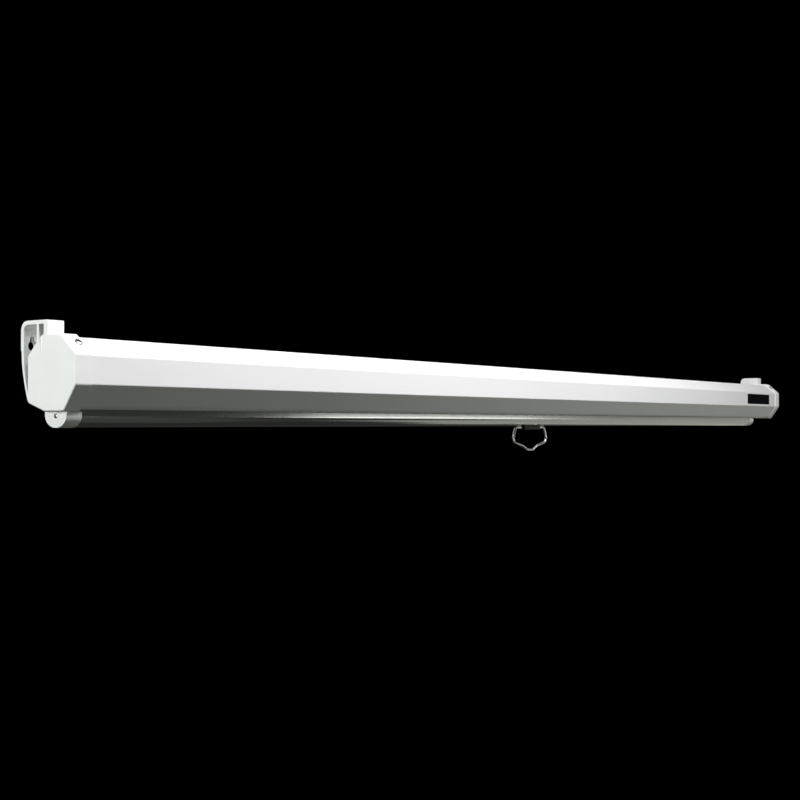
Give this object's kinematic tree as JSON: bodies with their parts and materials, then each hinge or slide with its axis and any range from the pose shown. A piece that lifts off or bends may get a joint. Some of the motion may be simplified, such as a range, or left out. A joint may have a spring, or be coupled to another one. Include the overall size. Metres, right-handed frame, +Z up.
{
  "type": "pull down projector screen",
  "caption": "Manual pull down projector screen in a white octagonal case, with wall and ceiling brackets, a spring roller, a weight bar and a wire bail.",
  "frame": {"origin": "on the wall plane, midway between the two keyholes, at the height where the wall screws seat", "axes": "+X along the case to the right, +Y back into the wall, +Z up"},
  "size_m": [1.9386, 0.0771, 0.1385],
  "materials": {
    "white_paint": "smooth white powder coat, semi gloss",
    "white_plastic": "fine moulded satin",
    "badge_black": "gloss black, bare",
    "black_plastic": "moulded black",
    "bar_aluminium": "satin anodised",
    "steel": "zinc plated",
    "chrome_wire": "bright nickel plate",
    "nylon": "natural nylon",
    "fabric_white": "matte white screen",
    "fabric_black": "black backed border"
  },
  "bodies": {
    "housing": {"casing": "white_paint", "end_cap_left": "white_plastic", "end_cap_right": "white_plastic", "cap_screw_left_front": "steel", "cap_screw_left_rear": "steel", "cap_screw_right_front": "steel", "cap_screw_right_rear": "steel", "badge_plate": "badge_black", "idle_pin": "steel", "torsion_spring": "steel", "spring_collar": "steel", "spring_shaft": "steel", "ratchet_hub": "steel", "lock_cover": "nylon", "fabric_tail": "fabric_black"},
    "roller": {"roller_tube": "steel", "roller_plug_left": "nylon", "roller_plug_right": "nylon", "idle_bush": "nylon", "spring_anchor": "nylon", "fabric_roll": "fabric_white"},
    "upper_pawl": {"pawl_upper": "steel"},
    "lower_pawl": {"pawl_lower": "steel"},
    "pull_bar": {"weight_bar": "bar_aluminium", "fabric_rod": "nylon", "bar_cap_left": "white_plastic", "bar_cap_right": "white_plastic", "bar_cap_screw_left": "steel", "bar_cap_screw_right": "steel", "handle_clip": "black_plastic", "handle_screw": "steel"},
    "bail": {"handle_bail": "chrome_wire"}
  },
  "joints": [
    {"name": "screen_drop", "type": "slide", "parent": "housing", "child": "pull_bar", "axis": [0, 0, -1], "range_m": [0, 1.812], "stiffness_N_per_m": 8, "springref_m": -2.5, "deforming": ["fabric_tail"]},
    {"name": "roller_spin", "type": "hinge", "parent": "housing", "child": "roller", "pos_m": [0, -0.047, -0.031], "axis": [-1, 0, 0], "range_deg": [0, 4861]},
    {"name": "upper_pawl_swing", "type": "hinge", "parent": "roller", "child": "upper_pawl", "pos_m": [0.8748, -0.047, -0.0165], "axis": [-1, 0, 0], "range_deg": [0, 20]},
    {"name": "lower_pawl_swing", "type": "hinge", "parent": "roller", "child": "lower_pawl", "pos_m": [0.8748, -0.047, -0.0455], "axis": [-1, 0, 0], "range_deg": [0, 20]},
    {"name": "bail_swing", "type": "hinge", "parent": "pull_bar", "child": "bail", "pos_m": [-0.0573, -0.0432, -0.0868], "axis": [1, 0, 0], "range_deg": [-90, 90]}
  ],
  "couplings": [
    {"joint": "roller_spin", "follows": "screen_drop", "rad_per_m": 46.812}
  ]
}
